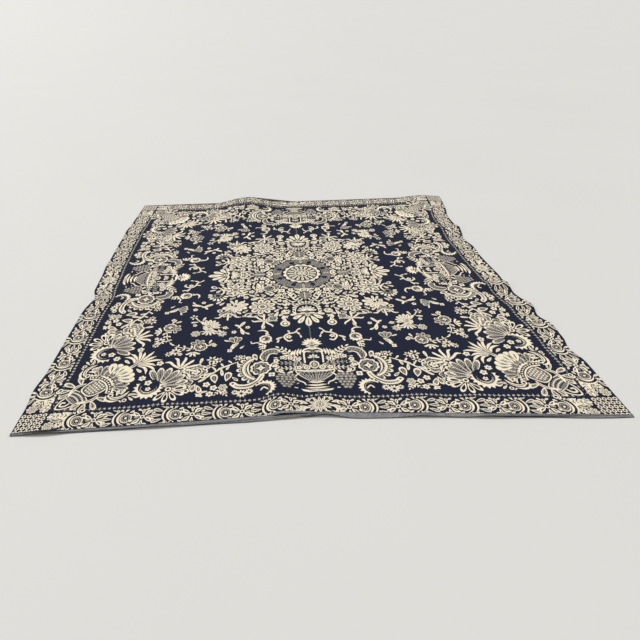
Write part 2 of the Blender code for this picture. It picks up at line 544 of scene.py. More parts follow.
def horn():
    """The horn of plenty, along +X from the tip of its tail."""
    out = [(np.array([-14 - 10j, 4 - 24j, 60 - 48j, 120 - 56j, 190 - 70j, 250, 190 + 70j, 120 + 56j,
                      60 + 48j, 4 + 24j, -14 + 10j]), NAVY)]
    # the curled tail
    tail = smooth([-10, 2 - 18j, 30 - 32j, 52 - 28j, 54 + 24j, 30 + 28j, 4 + 16j], 4, True)
    out += rings(tail, (1.0, CREAM), (0.8, NAVY))
    out += stroke([48 - 10j, 22 - 12j, 10 + 2j, 24 + 12j, 32 + 2j], 7, 0.5, 1.0, 4)
    # its banded neck
    band = smooth([48 - 36j, 68 - 44j, 90 - 44j, 98, 90 + 44j, 68 + 44j, 48 + 36j, 42], 4, True)
    out += rings(band, (1.06, NAVY), (1.0, CREAM), (0.9, GREY))
    for k, tone in ((52, NAVY), (60, CREAM), (68, NAVY), (76, CREAM), (84, NAVY)):
        out += [(ribbon([k - 36j, k + 7 - 18j, k + 9, k + 7 + 18j, k + 36j], 3.5, 0.7, 0.7), tone)]
    # the bell with its chequered heart
    bell = smooth([98, 104 - 26j, 134 - 38j, 168 - 36j, 184, 168 + 36j, 134 + 38j, 104 + 26j], 4, True)
    out += rings(bell, (1.12, NAVY), (1.04, CREAM), (0.9, NAVY), (0.82, GREY))
    for i in range(6):
        for k in (-2, -1, 0, 1, 2):
            at = 114 + 11 * i + 1j * (12 * k + (6 if i % 2 else 0))
            if abs(at - 142) < 34 and abs(at.imag) < 26:
                out += put([(star(4.8, 3.6, 4), CREAM)], at)
    # the chequered rim, along a short arc
    for low, high, spread, tone in ((70, 100, 52, NAVY), (72, 98, 51, CREAM), (78, 92, 49, NAVY)):
        out += put([(sector(low, high, -spread, spread, 16), tone)], 106)
    for i in range(11):
        out += put([(star(4.6, 3.4, 4), CREAM)], 106 + polar(85, -44 + 8.8 * i))
    for i in range(11):
        heading = -50 + 10 * i
        out += put([(oval(10, 13, 9), CREAM)], 106 + polar(99, heading), 1, heading)
    # what spills from it: toned fans at both sides of a block, under a row of round petals
    fans = put(lobes(5, 14, 66, -60, 40, 22), 186 + 44j, 1, 42)
    out += sides(fans)
    out += put([(sector(103, 140, -30, 30, 10), NAVY), (sector(105, 136, -29, 29, 10), GREY)], 106)
    for heading in (-24, -12, 0, 12, 24):
        out += put(stroke([0, 26], 4, 1, 1), 106 + polar(106, heading), 1, heading)
    for heading in (-46, -28, 28, 46, -10, 10):
        petal = rings(drop(66, 38, 14), (1.12, NAVY), (1.0, CREAM))
        petal += [(14 + 0.5 * drop(66, 14), NAVY), (26 + 0.3 * drop(66, 10), GREY)]
        out += put(petal, 186 + polar(42, heading * 0.8), 1, heading)
    # leaves that wrap the neck, and the flourishes beyond them
    side = put(acanthus(), 106 + 58j, 1.15, -4)
    side += put(flourish(), 168 + 104j, 1, 20)
    return out + sides(side)


def flourish():
    """A curl of long slit leaves with a ring in its bend."""
    out = [(ribbon([-30 - 20j, -8 + 6j, 24 + 10j, 46 - 8j], 30, 0.4, 0.2, 4), NAVY)]
    out += stroke([-30 - 22j, -10 + 4j, 20 + 10j, 50 - 6j], 13, 0.2, 0.1, 5)
    out += [(ribbon([-20 - 10j, -6 + 6j, 20 + 12j, 34 + 4j], 3, 0.3, 0.3, 4), NAVY)]
    out += stroke([-32 - 24j, -36 - 2j, -20 + 16j, 6 + 24j], 9, 0.2, 0.1, 4)
    out += slits((34, 14, 2 - 2j, -62), (30, 12, 18 - 2j, -44))
    return out + put(rings(oval(22, n=12), (1.2, NAVY), (1, CREAM), (0.5, NAVY)), -16 - 16j)


def acanthus():
    """A curling leaf of fat lobes that wraps round the horn's neck."""
    out = []
    for x, y, length, width, heading in ((10, -8, 48, 22, 70), (-6, -4, 46, 22, 112),
                                         (-22, -8, 46, 22, 148), (-30, -18, 40, 18, 178)):
        out += put(rings(drop(length, width), (1.14, NAVY), (1, CREAM), (0.68, PALE)) +
                   [(0.25 * length + 0.5 * drop(length, width * 0.36), NAVY)], x + 1j * y, 1, heading)
    out += [(ribbon([24 - 10j, 0 - 4j, -24 - 14j, -44 - 32j], 11, 0.3, 0.3), CREAM),
            (ribbon([18 - 8j, 0 - 4j, -22 - 14j], 3, 0.5, 0.5), NAVY)]
    return out + put(rings(oval(18, n=8), (1.15, NAVY), (1, CREAM), (0.5, NAVY)), -46 + 14j)


def compote():
    """The basket of fruit and flowers on the middle axis."""
    # crown flower
    out = put(around([(blade(34, 12), CREAM)], 9, 10, -180, 180), 618j)
    out += put(around([(blade(22, 9), CREAM)], 5, 6, 10, 160), 628j)
    out += rings(oval(24, 18, 9) + 618j, (1, CREAM), (0.55, NAVY))
    # moustache band and arch
    out += stroke([0 + 652j, 18 + 648j, 34 + 656j, 40 + 668j, 28 + 672j], 9, 1, 0.8)
    out += stroke([8 + 668j, 30 + 668j, 37 + 684j, 36 + 740j], 7, 1, 1)
    out += [(ribbon([0 + 672j, 12 + 672j, 20 + 678j], 6, 1, 0.8), GREY)]
    out += put(around([(drop(20, 10), CREAM)], 5, 4, -170, 160), 710j)
    out += rings(oval(10, n=7) + 710j, (1, NAVY), (0.5, CREAM))
    pine = [728j, 16 + 738j, 19 + 756j, 10 + 772j, 776j, -10 + 772j, -19 + 756j, -16 + 738j]
    pine = smooth(pine, 2, True)
    out += rings(pine, (1, CREAM), (0.74, GREY)) + rings(oval(10, 20, 7) + 752j, (1, CREAM), (0.5, NAVY))
    out += put(rings(oval(30, n=10), (1.15, NAVY), (1, CREAM), (0.62, GREY), (0.3, CREAM)), 44 + 760j)
    # narrow leaves and the leaf branch
    for dx, top, foot in ((50, 648, 690), (62, 646, 698), (74, 652, 700), (86, 660, 702)):
        out += put([(blade(foot - top, 10, 4), CREAM)], dx + 1j * foot, 1, -98)
    out += spray([88 + 694j, 108 + 664j, 134 + 640j], 4, 28, 12, 4, 55)
    # the heap of leaves at either side of the arch
    for k in range(3):
        foot = 44 + 1j * (782 - 31 * k)
        row = [foot, foot + 46 - 12j, foot + 98 - 8j - 4j * k]
        for leaf, tone in spray(row, 6, 21, 9, 3.5, 55):
            out += [(leaf, PALE if tone == CREAM and k == 1 else tone)]
    for x, y, r in ((60, 716, 12), (92, 706, 13), (122, 702, 12), (148, 722, 13), (152, 756, 12),
                    (132, 786, 11), (60, 768, 13)):
        out += put(blossom(r), x + 1j * y)
    out += put(rings(oval(27, n=12), (1.15, NAVY), (1, CREAM), (0.6, GREY), (0.3, CREAM)), 30 + 768j)
    out += stroke([140 + 738j, 158 + 736j, 168 + 748j, 160 + 762j, 150 + 754j], 5, 0.5, 1)
    # basket
    bowl = smooth([780j, 44 + 786j, 76 + 782j, 68 + 808j, 42 + 836j, 20 + 852j, 852j], 3)
    bowl = np.concatenate([bowl, -np.conj(bowl[::-1])])
    out += rings(bowl, (1.05, NAVY), (1.0, CREAM), (0.93, GREY))
    for i in range(9):
        x = -64 + 16 * i
        out += [(ribbon([x + 788j, x * 0.75 + 812j, x * 0.28 + 850j], 4, 1, 1), PALE)]
        out += [(ribbon([x + 5 + 788j, x * 0.75 + 5 + 812j, x * 0.28 + 3 + 850j], 2.5, 1, 1), NAVY)]
    out += stroke([-76 + 782j, -40 + 790j, 792j, 40 + 790j, 76 + 782j], 8, 0.5, 0.5)
    out += [(ribbon([-62 + 798j, -30 + 806j, 807j, 30 + 806j, 62 + 798j], 4, 0.5, 0.5), NAVY)]
    # handle with its curls
    out += stroke([60 + 800j, 78 + 822j, 66 + 846j, 48 + 858j, 40 + 874j], 6, 0.8, 0.6)
    out += stroke([66 + 862j, 84 + 868j, 86 + 886j, 72 + 890j], 5, 0.6, 1)
    # grapes
    out += put([(oval(80, 104, 14), NAVY)], 112 + 852j)
    for count, y in ((4, 812), (5, 826), (5, 841), (4, 856), (3, 871), (2, 885)):
        for i in range(count):
            x = 112 + 16 * (i - (count - 1) / 2)
            out += put(rings(oval(14.5, n=10), (1.0, PALE), (0.62, NAVY), (0.36, CREAM)), x + 1j * y)
    out += slits((28, 14, 110 + 804j, -150), (28, 14, 114 + 804j, -30))
    # foot
    for y, w, h in ((858, 32, 9), (876, 38, 9), (892, 46, 8)):
        saucer = np.array([-w + 1j * (y - 2), -w * 0.5 + 1j * (y + h * 0.6), 1j * (y + h),
                           w * 0.5 + 1j * (y + h * 0.6), w + 1j * (y - 2), w * 0.5 + 1j * (y - h * 0.4),
                           1j * (y - 1), -w * 0.5 + 1j * (y - h * 0.4)])
        out += [(saucer, CREAM)]
    base = np.array([-60 + 896j, -52 + 908j, -30 + 916j, 916j, 30 + 916j, 52 + 908j, 60 + 896j, 30 + 904j,
                     903j, -30 + 904j])
    out += [(base, CREAM), (1j * 909.5 + oval(70, 5, 8), GREY)]
    return out


def rose_scroll():
    """The rose in its half-moon, with the plume above and the toothed scroll below."""
    at = 208 + 764j
    out = []
    for i in range(9):
        heading = -72 + 19 * i
        out += put(tear(44, 24, GREY), at + polar(52, heading), 1, heading)
    out += put([(sickle(72, 30, -86, 98, 18), NAVY), (sickle(69, 26, -84, 96, 18), CREAM),
                (sickle(60, 10, -70, 82, 16), PALE), (sickle(55, 4, -60, 72, 14), NAVY)], at + 4)
    out += put(rose(43), at)
    # the plume
    plume = [192 + 722j, 196 + 694j, 184 + 668j, 158 + 658j, 138 + 672j]
    out += [(ribbon(plume, 42, 0.5, 0.7, 5), NAVY), (ribbon(plume, 36, 0.4, 0.6, 5), CREAM),
            (ribbon(plume, 25, 0.3, 0.5, 5), GREY)]
    out += [(ribbon([194 + 712j, 194 + 694j, 180 + 674j, 158 + 666j], 3, 0.6, 0.6, 4), NAVY)]
    # the feather below, to its bulb
    feather = [202 + 800j, 216 + 834j, 250 + 860j, 292 + 862j, 316 + 842j]
    out += [(ribbon(feather, 32, 0.9, 0.9, 5), NAVY), (ribbon(feather, 24, 0.8, 0.7, 5), CREAM),
            (ribbon(feather[1:], 9, 0.3, 0.3, 5), PALE)]
    out += [(ribbon([202 + 810j, 222 + 842j, 252 + 862j, 290 + 864j], 3.5, 0.9, 0.3, 5), NAVY)]
    out += [(ribbon([212 + 804j, 232 + 834j, 262 + 850j, 292 + 850j], 3, 0.9, 0.3, 5), NAVY)]
    out += put(rings(oval(26, 22, 12), (1.0, CREAM), (0.4, NAVY)), 312 + 846j)
    # the toothed scroll
    out += put([(oval(92, n=20), NAVY)], 194 + 884j)
    scroll = [(toothed(36, 13, 96, 330, 11, 10), CREAM), (sickle(25, 9, 100, 320, 14), GREY)]
    out += put(scroll, 194 + 884j)
    out += put(stroke([-14 + 6j, 2 - 10j, 14 + 4j], 6, 0.6, 0.6, 4), 194 + 888j)
    out += put(star_flower(17), 278 + 900j) + put(star_flower(13), 250 + 890j)
    out += put(star_flower(11), 302 + 892j)
    # the curl toward the basket
    out += stroke([124 + 738j, 144 + 742j, 154 + 756j, 144 + 770j, 136 + 760j], 6, 0.4, 0.8, 4)
    return out + stroke([146 + 772j, 152 + 786j, 140 + 798j], 5, 0.5, 0.5, 4)


def star_flower(radius, count=9):
    """A small flower of pointed petals."""
    out = around([(blade(radius, radius * 0.45), CREAM)], count, radius * 0.25)
    return out + [(oval(radius * 0.5, n=6), NAVY)]


def branch():
    """The branch of buds over the two pears, with the small flowers round it."""
    out = stroke([443 + 825j, 402 + 790j, 362 + 752j, 297 + 717j], 7, 0.8, 0.4)
    for x, y, length, width, heading in ((362, 752, 46, 15, 100), (330, 732, 34, 12, 70),
                                         (385, 775, 42, 14, 20), (410, 800, 40, 12, 40),
                                         (340, 738, 40, 12, 30), (300, 718, 36, 12, 100),
                                         (320, 726, 26, 10, -50), (352, 745, 26, 10, -60),
                                         (380, 770, 26, 10, -65), (420, 800, 30, 11, -10)):
        out += slits((length, width, x + 1j * y, heading))
    for x, y, r in ((402, 696, 15), (375, 700, 11), (402, 733, 13), (300, 692, 12), (280, 690, 10),
                    (388, 715, 8), (246, 700, 10)):
        out += put(star_flower(r * 1.25, 6), x + 1j * y)
    for x, y in ((378, 838), (339, 830)):
        pear = rings(drop(54, 34), (1.15, NAVY), (1, CREAM), (0.62, NAVY), (0.5, GREY))
        out += put(pear, x + 1j * y, 1, -90 + (x - 358) * 0.6)
    out += put(daisy(18, 6), 348 + 862j) + spray([350 + 880j, 336 + 900j], 2, 18, 8)
    out += spray([356 + 876j, 372 + 896j], 2, 14, 7)
    return out


def pansy_group():
    """The toned rose with its rings, the pansy and the open-hand lily beside them."""
    rose_head = [(scallop(48, 9, 0.14), CREAM), (scallop(42, 9, 0.12), GREY),
                 (scallop(27, 9, 0.1, 3), CREAM), (oval(44, n=14), NAVY)]
    out = put(rose_head + put(blossom(18), 0), 459 + 766j)
    out += put(ringlet(11), 424 + 748j) + put(ringlet(11), 430 + 794j) + slits((40, 15, 448 + 722j, -100))
    out += put(hand(8, 70, 11, -240, -60, 0.45), 522 + 742j)
    out += put(rings(scallop(15, 6, 0.12, 3), (1.15, NAVY), (1, CREAM), (0.5, GREY)), 514 + 746j)
    out += put(lobes(4, 12, 44, 0, 200, 24), 484 + 852j, 1, 180)
    for x, y, heading in ((466, 842, 40), (452, 834, 75), (446, 842, 110)):
        out += put(rings(drop(46, 26), (1.12, NAVY), (1, CREAM), (0.6, GREY)), x + 1j * y, 1, heading)
    eye = [(scallop(16, 5, 0.2), NAVY), (scallop(14, 5, 0.2), CREAM), (oval(12, n=8), NAVY)]
    out += put(eye, 482 + 872j)
    out += slits((34, 14, 448 + 888j, 150), (30, 13, 420 + 884j, 40), (26, 11, 400 + 878j, 10))
    return out


def fan_group():
    """A toned fan leaf over a toothed half-moon, with slit leaves and drops beside it."""
    out = put(lobes(7, 30, 108, 170, 296, 32), 586 + 836j)
    out += put(saw_crescent(46, 84, 125, 12), 624 + 846j)
    out += put(around(tear(58, 24, NAVY), 5, 10, 50, 140), 548 + 862j)
    out += put(rings(oval(24, n=12), (1.2, NAVY), (1, CREAM), (0.5, NAVY)), 548 + 858j)
    out += put(flourish(), 690 + 884j, 0.8, 200) + slits((36, 14, 520 + 846j, 190))
    return out + slits((30, 12, 528 + 830j, 220))


def flames():
    """The spray of narrow curling leaves that leaps from the horn's mouth."""
    out = []
    for i in range(10):
        heading = -78 + 17 * i
        length = (64, 84, 70, 92, 76, 88, 70, 90, 66, 60)[i]
        swing = 0.055 * (i - 4.5)
        line = [0, length * (0.4 - 0.3j * swing), length * (0.75 + 0.3j * swing),
                length * (1.0 + 1.5j * swing)]
        for extra, tone in ((6, NAVY), (0, CREAM)):
            out += put([(ribbon(line, 11 + extra, 0.5, 0.05, 4), tone)], polar(12, heading), 1, heading)
    stem = stroke([-46, -10, 24], 14, 0.6, 0.4)
    return out + stem + [(blade(66, 6) - 30, NAVY)]


def over_seam(shapes):
    """The shapes and their mirror image over the seam's line."""
    return shapes + [(-np.conj(o), tone) for o, tone in shapes]


def dahlia(radius, count=8):
    """A flower of broad pointed petals round a toned heart."""
    petal = [(blade(radius * 0.8, radius * 0.5, 0, 0.45, 8), CREAM),
             (radius * 0.1 + 0.72 * blade(radius * 0.8, radius * 0.36), PALE),
             (radius * 0.14 + 0.55 * blade(radius * 0.8, radius * 0.14), NAVY)]
    out = [(star(radius * 1.1, radius * 0.86, count), NAVY)] + around(petal, count, radius * 0.22)
    return out + rings(scallop(radius * 0.34, 8, 0.12, 2), (1.2, NAVY), (1.0, CREAM), (0.72, GREY))


def rosette():
    """The medallion's middle: a sixteen-lobed rim, a ring of petals and a toned heart."""
    out = [(scallop(107, 16, 0.05, 4), NAVY), (scallop(101, 16, 0.12, 5), CREAM)]
    out += rings(oval(166, n=36), (1.0, NAVY), (0.95, GREY), (0.88, NAVY))
    out += around([(drop(38, 18, 11), CREAM), (12 + 0.5 * drop(38, 9), NAVY)], 16, 38)
    out += rings(scallop(41, 16, 0.08, 3), (1.0, CREAM), (0.84, NAVY))
    out += around([(drop(25, 14, 11), CREAM), (8 + 0.5 * drop(25, 6), NAVY)], 8, 5)
    return out + rings(oval(18, n=10), (1, CREAM), (0.6, NAVY))


def halo_ring():
    """The toned ring round the rosette, with its dark darts and outlined almonds."""
    out = [(oval(314, n=48), GREY), (oval(216, n=36), NAVY)]
    out += around([(np.array([0, 16 + 14j, 42 + 6j, 30, 42 - 6j, 16 - 14j]), NAVY)], 8, 106, 22.5)
    out += around([(blade(44, 22), NAVY), (4 + 0.8 * blade(44, 20), CREAM),
                   (10 + 0.55 * blade(44, 18), GREY)], 4, 110, 0)
    almond = rings(drop(58, 42), (1.2, NAVY), (1, CREAM), (0.74, NAVY), (0.6, GREY))
    out += put(almond, 116 + 116j, 1, 45)
    out += put(stroke([0, 22 + 12j, 40 + 4j], 6), 122 + 92j, 1, 20)
    out += put(stroke([0, 22 - 12j, 40 - 4j], 6), 92 + 122j, 1, 70)
    return out


def crown_bud():
    """The tulip that stands on the ring, on an axis of the medallion."""
    cup = np.array([150j, 22 + 158j, 27 + 176j, 14 + 190j, 192j])
    cup = np.concatenate([cup, -np.conj(cup[-2:0:-1])])
    out = rings(cup, (1.15, NAVY), (1, CREAM), (0.6, NAVY), (0.4, CREAM))
    bud = smooth([188j, 22 + 204j, 26 + 228j, 14 + 252j, 266j], 2)
    bud = np.concatenate([bud, -np.conj(bud[-2:0:-1])])
    out += rings(bud, (1.2, NAVY), (1, GREY)) + stroke([196j, 256j], 5, 1, 0.4)
    for k, (x, y) in enumerate(((27, 204), (31, 220), (28, 236), (20, 250))):
        out += over_seam(put([(drop(12, 9), CREAM)], x - 6 + 1j * y, 1, 20 + 14 * k))
    return out


def shell():
    """The domed palmette on an axis of the medallion, with its hanging drops."""
    out = [(np.array([-72 + 300j, -50 + 276j, 50 + 276j, 72 + 300j, 66 + 400j, 40 + 490j, -40 + 490j,
                      -66 + 400j]), NAVY)]
    dome = [-60 + 402j, -68 + 350j, -50 + 300j, 282j, 50 + 300j, 68 + 350j, 60 + 402j, 396j]
    out += [(smooth(dome, 3, True), GREY)]
    arch = [-54 + 392j, -58 + 346j, -38 + 310j, 298j, 38 + 310j, 58 + 346j, 54 + 392j, 386j]
    out += rings(smooth(arch, 3, True), (1, NAVY), (0.94, CREAM), (0.87, NAVY))
    for i in range(13):
        heading = -184 + 15.7 * i
        out += put([(drop(20, 12), CREAM)], 345j + polar(48, heading), 1, heading)
    for i in range(7):
        heading = -168 + 26 * i
        petal = [(drop(42, 14), CREAM), (12 + 0.6 * drop(42, 6), GREY)]
        out += put(petal, 366j + polar(4, heading), 1, heading)
    out += over_seam(stroke([388j, 20 + 379j, 42 + 388j, 58 + 378j, 68 + 362j], 8, 1, 0.4))
    long_petal = rings(drop(78, 34), (1.12, NAVY), (1, CREAM)) + [(28 + 0.5 * drop(78, 12), NAVY)]
    out += put(long_petal, 408j, 1, 90)
    for x, y, length, width, heading in ((12, 402, 68, 27, 62), (24, 394, 54, 25, 38),
                                         (42, 386, 38, 19, 12)):
        petal = rings(drop(length, width), (1.12, NAVY), (1, CREAM))
        petal += [(0.4 * length + 0.4 * drop(length, width * 0.36), NAVY)]
        out += over_seam(put(petal, x + 1j * y, 1, heading))
    return out + put(rings(oval(22, n=10), (1.2, NAVY), (1, CREAM), (0.5, NAVY)), 397j)


def medallion():
    """What stands round the ring in the diagonal part of a quarter."""
    out = put(blossom(20, 4), 112 + 172j) + put(blossom(15, 4), 68 + 166j)
    out += put([(blade(26, 10), CREAM)], 44 + 176j, 1, 20)
    out += put(blossom(17, 4), 172 + 116j) + put(blossom(15, 5), 180 + 66j)
    out += put(blossom(17, 4), 204 + 44j)
    out += put(rings(drop(48, 26), (1.15, NAVY), (1, CREAM), (0.55, NAVY)), 114 + 200j, 1, 90)
    out += put(blossom(14, 5), 70 + 214j)
    out += stroke([84 + 200j, 66 + 236j, 52 + 262j, 38 + 258j, 36 + 246j], 8, 0.4, 0.9)
    out += stroke([64 + 190j, 50 + 214j, 40 + 232j], 6, 0.5, 0.3)
    out += put([(blade(54, 24, 6), CREAM), (8 + 0.7 * blade(54, 14, 6), GREY)], 122 + 232j, 1, 20)
    # shell petal and the tall leaf
    shell_petal = smooth([0, 16 - 30j, 48 - 36j, 72 - 14j, 74 + 14j, 48 + 36j, 16 + 30j], 2, True)
    out += put(rings(shell_petal, (1.08, NAVY), (1, CREAM), (0.84, GREY)) +
               [(ribbon([8, 66 + 16j * k], 3.5, 1, 0.4), NAVY) for k in (-1, 0, 1)], 150 + 128j, 0.8, 42)
    out += put(rings(blade(92, 26, 10), (1.1, NAVY), (1, CREAM)) + [(20 + 0.6 * blade(92, 7, 10), NAVY)],
               232 + 88j, 1, 88)
    out += put(hand(4, 46, 9, -70, 20, 0.3), 200 + 160j) + put(blossom(13), 214 + 172j)
    out += slits((40, 15, 262 + 128j, -20), (34, 13, 258 + 140j, 30), (30, 12, 240 + 70j, -40))
    # the two big flowers of the diagonal and its near-mirror
    out += put(dahlia(60), 338 + 150j) + put(daisy(63, 9, 0.36), 205 + 315j)
    # fleshy flower with its toned tulip
    base = 330 + 300j
    for heading, length, width in ((-168, 62, 26), (-205, 58, 24), (155, 60, 30), (-130, 50, 20),
                                   (120, 54, 28), (-92, 56, 15), (-62, 58, 14), (20, 66, 30), (52, 72, 34),
                                   (86, 60, 26)):
        out += put(rings(drop(length, width), (1.12, NAVY), (1, CREAM)) +
                   [(0.3 * length + 0.5 * drop(length, width * 0.28), NAVY)], base, 1, heading)
    out += put(rings(oval(26, n=9), (1.1, NAVY), (1, CREAM), (0.6, NAVY)), base)
    out += put(lobes(4, 10, 66, 40, 115, 20), 352 + 332j) + put(ringlet(13), 400 + 338j)
    out += put(hand(3, 62, 9, 60, 120, 0.5), 360 + 358j)
    # lily with its toned ball, spiral leaf and bead sprig
    out += put(hand(6, 58, 9, -255, -60, 0.45), 196 + 436j)
    out += put(hand(2, 50, 10, 20, 60, 0.5), 196 + 436j)
    out += put(rings(oval(44, n=12), (1.15, NAVY), (1, CREAM), (0.8, GREY)), 158 + 416j)
    out += put(rings(oval(44, 44, 12), (1.1, NAVY), (1, CREAM), (0.66, NAVY), (0.4, CREAM)), 104 + 462j)
    out += put([(toothed(14, 0.1, -60, 120, 5, 8), CREAM)], 96 + 440j) + slits((44, 18, 96 + 446j, -62))
    out += stroke([222 + 376j, 244 + 366j, 276 + 372j, 286 + 390j], 6, 0.4, 0.4)
    for i in range(6):
        out += put(ringlet(6.5), 232 + 11.5 * i + 1j * (394 + 4 * math.sin(i)))
    out += slits((30, 14, 252 + 372j, 60))
    # bead fan on its curl
    for i in range(8):
        heading = -10 + 26 * i
        out += put([(drop(26, 15), CREAM)], 418 + 206j + polar(24, heading), 1, heading)
    out += put(rings(oval(44, n=12), (1.1, NAVY), (1, GREY), (0.5, NAVY)), 418 + 206j)
    out += stroke([404 + 196j, 392 + 172j, 404 + 146j, 424 + 128j], 9, 0.7, 0.3)
    out += put(rings(drop(40, 26), (1.1, NAVY), (1, CREAM), (0.5, NAVY)), 424 + 138j, 1, -30)
    out += slits((34, 13, 430 + 150j, 20))
    # small flowers and leaves that fill the gaps
    for x, y, r in ((86, 298, 14), (124, 266, 12), (284, 226, 14), (300, 204, 12), (250, 246, 12),
                    (144, 392, 11), (96, 330, 10), (310, 64, 16), (372, 70, 12)):
        out += put(blossom(r, 5), x + 1j * y)
    out += put(ringlet(12), 204 + 250j)
    for x, y, length, width, heading in ((214, 226, 40, 16, 40), (236, 214, 34, 13, -10),
                                         (132, 360, 36, 15, 70), (100, 344, 34, 15, 60),
                                         (84, 398, 30, 13, 30), (170, 262, 30, 12, 200),
                                         (142, 288, 30, 12, 150), (288, 250, 30, 12, 70),
                                         (262, 196, 34, 13, 0), (268, 66, 34, 14, 40)):
        out += slits((length, width, x + 1j * y, heading))
    out += stroke([262 + 20j, 284 - 4j, 312 + 2j, 318 + 24j, 302 + 30j], 8, 0.4, 0.9)
    return out


def side_fill():
    """Leaves and curls that flank the shell and the crown, the same over the diagonal."""
    out = stroke([84 + 262j, 96 + 248j, 112 + 250j], 6, 0.4, 0.6)
    out += stroke([40 + 268j, 56 + 280j, 74 + 274j, 80 + 262j], 6, 0.4, 0.6)
    out += slits((36, 14, 88 + 420j, -40), (30, 12, 80 + 380j, 0))
    return out + put(star_flower(14), 92 + 364j)


def carnation(radius):
    """A half flower with a fringed fan of petals over a toned cup."""
    out = [(sector(0, radius * 1.12, -80, 80, 8), NAVY)]
    for i in range(7):
        heading = -72 + 24 * i
        out += put([(drop(radius, radius * 0.34), CREAM),
                    (radius * 0.35 + 0.45 * drop(radius, radius * 0.14), NAVY)], 0, 1, heading)
    return out + rings(oval(radius * 0.8, radius * 0.6, 9), (1.1, NAVY), (1, CREAM), (0.65, GREY))


def sprigs():
    """The loose sprigs strewn over the field between the medallion and the border."""
    # rose sprig
    out = put(rose(30), 458 + 606j) + put(lobes(3, 8, 34, -130, -20, 20), 470 + 588j)
    out += put(spray([0, 22 - 14j, 50 - 22j, 78 - 44j], 3, 24, 10, 4, 60), 484 + 622j, 1, 8)
    out += slits((36, 14, 432 + 604j, -150))
    out += put(hand(4, 30, 9, 40, 140, 0.3), 484 + 640j) + slits((28, 12, 426 + 588j, -110))
    out += put(blossom(11), 402 + 600j)
    # three-lobed flower
    out += put(lobes(3, 10, 50, -118, -62, 24), 316 + 596j)
    out += put([(blade(44, 17, 5), CREAM), (8 + 0.6 * blade(44, 7, 5), GREY)], 326 + 598j, 1, 78)
    out += put([(blade(50, 18, -5), CREAM), (8 + 0.6 * blade(50, 7, -5), GREY)], 300 + 590j, 1, 55)
    out += put(blossom(12, 4), 336 + 642j)
    out += slits((30, 10, 336 + 580j, -20), (26, 10, 278 + 612j, 50))
    # leaf spray
    out += slits((60, 17, 312 + 486j, -122), (46, 15, 300 + 490j, 110), (34, 13, 296 + 474j, -30))
    out += stroke([316 + 460j, 298 + 486j, 278 + 520j], 6, 0.4, 0.4) + put(blossom(12), 326 + 512j)
    out += slits((30, 11, 284 + 516j, 150))
    out += put(blossom(11), 268 + 480j)
    # rosebud and its spray
    out += put(rings(oval(54, 50, 12), (1.12, NAVY), (1, CREAM), (0.72, GREY), (0.3, NAVY)), 190 + 570j)
    out += put([(toothed(26, 8, 20, 160, 5, 8), CREAM)], 190 + 572j)
    out += stroke([190 + 546j, 182 + 524j, 200 + 508j, 224 + 512j], 8, 0.4, 0.3)
    out += slits((26, 10, 172 + 546j, -40))
    out += put(spray([0, 8 + 20j, 6 + 46j], 3, 22, 10, 4, 50), 196 + 602j)
    out += slits((34, 12, 216 + 590j, 225))
    out += stroke([206 + 606j, 226 + 596j, 246 + 600j, 252 + 584j], 6, 0.5, 0.3)
    # curled sprig
    out += stroke([52 + 508j, 66 + 532j, 94 + 540j, 112 + 562j, 96 + 592j, 78 + 586j], 8, 0.4, 0.8)
    out += slits((36, 13, 116 + 560j, 30), (26, 11, 134 + 576j, 75)) + put(blossom(13), 92 + 562j)
    out += slits((30, 11, 60 + 522j, 120), (26, 10, 60 + 518j, -140), (26, 10, 86 + 538j, -70))
    out += slits((24, 10, 44 + 548j, 100))
    # small flower
    out += put(star_flower(20, 8), 556 + 632j) + put(star_flower(13, 7), 582 + 646j)
    return out + put(blossom(10), 536 + 650j)


def great_sprig():
    """The big sprig of carnations on the diagonal."""
    out = put(carnation(54), 440 + 462j, 1, -120) + put(carnation(30), 436 + 466j, 1, 60)
    out += [(ribbon([420 + 480j, 446 + 496j, 474 + 498j], 5, 0.5, 0.5), CREAM),
            (ribbon([452 + 440j, 482 + 420j, 500 + 396j], 5, 0.5, 0.5), CREAM)]
    out += put(daisy(21, 7), 490 + 512j) + put(dahlia(22, 7), 376 + 520j)
    out += stroke([436 + 490j, 410 + 512j, 380 + 518j], 5, 0.5, 0.5)
    out += put(around([(drop(14, 10), CREAM)], 5, 4), 510 + 388j)
    out += slits((34, 13, 486 + 424j, 10), (34, 13, 470 + 420j, -110))
    out += put(hand(5, 42, 9, 60, 140, 0.3), 432 + 486j)
    out += slits((36, 13, 384 + 470j, 160), (30, 12, 396 + 484j, 120))
    return out + put(blossom(12), 366 + 476j) + put(blossom(10), 500 + 450j)


def in_medallion(z):
    """Whether places lie in the inner part of the medallion, which is filled out with leaves."""
    return (np.abs(z) > 162) & (np.abs(z) < 300 + 40 * np.abs(np.sin(2 * np.angle(z))))


def in_lobes(z):
    """Whether places lie among the flowers round the medallion."""
    edge = np.array([300 + 90j, 410 + 70j, 440 + 200j, 400 + 300j, 380 + 340j, 300 + 380j, 200 + 430j,
                     90 + 420j, 90 + 300j, 330 + 300j])
    return inside(z, edge)


def in_field_edge(z):
    """Whether places lie in the band of large motifs inside the border."""
    far = np.maximum(z.real, z.imag)
    return (far > 700) & (far < 896) & (np.minimum(z.real, z.imag) < 880)


